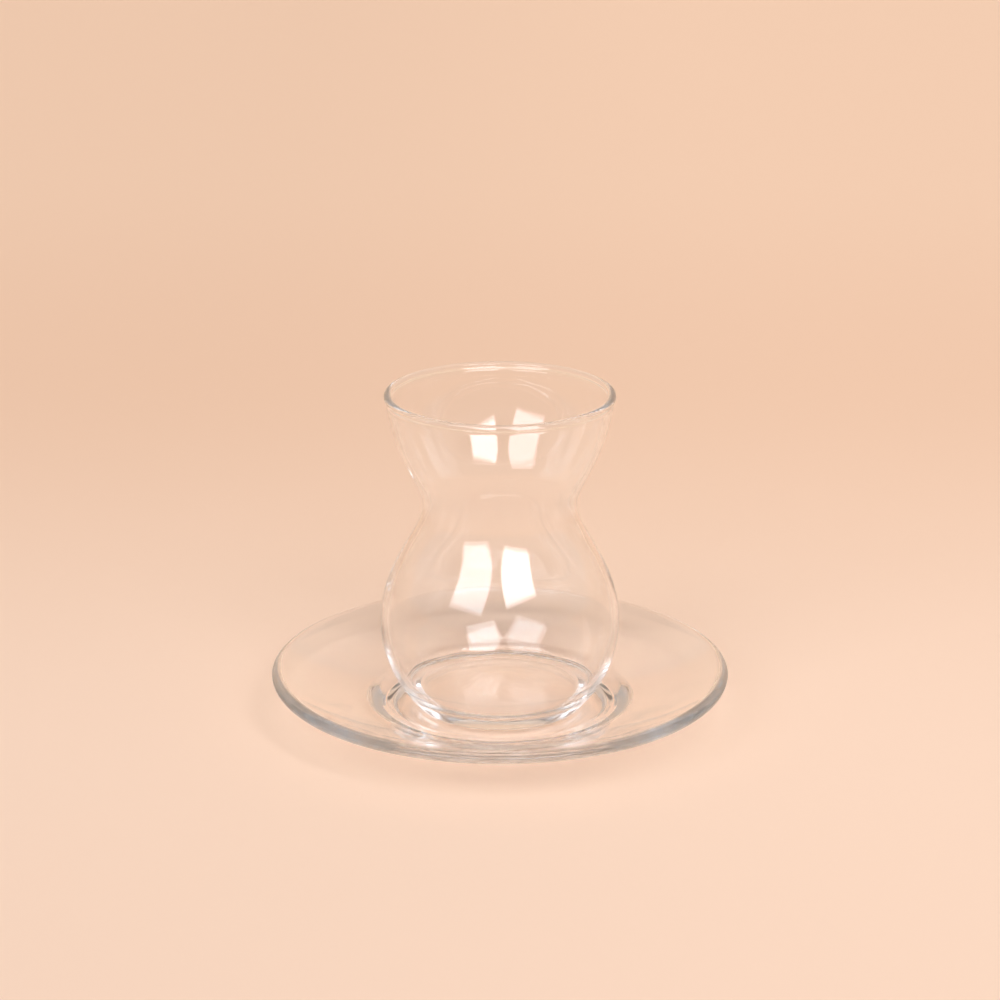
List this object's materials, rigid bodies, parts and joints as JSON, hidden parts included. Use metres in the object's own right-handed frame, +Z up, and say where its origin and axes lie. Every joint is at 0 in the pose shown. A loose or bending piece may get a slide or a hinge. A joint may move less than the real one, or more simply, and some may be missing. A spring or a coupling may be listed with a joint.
{
  "type": "turkish tea glass with saucer",
  "caption": "Clear round-bellied tea glass with a narrow neck and flared mouth, standing in the well of its clear glass saucer.",
  "frame": {"origin": "centre of the saucer's foot ring, on the surface that it stands on", "axes": "+Z up along the axis that both pieces are turned about; X and Y are alike"},
  "size_m": [0.125, 0.125, 0.0922],
  "materials": {
    "blown_glass": "clear, fire polished, faintly rippled",
    "pressed_glass": "clear, polished, slightly wavy from the mould"
  },
  "bodies": {
    "root": {"tea_glass": "blown_glass", "saucer": "pressed_glass"}
  },
  "joints": []
}
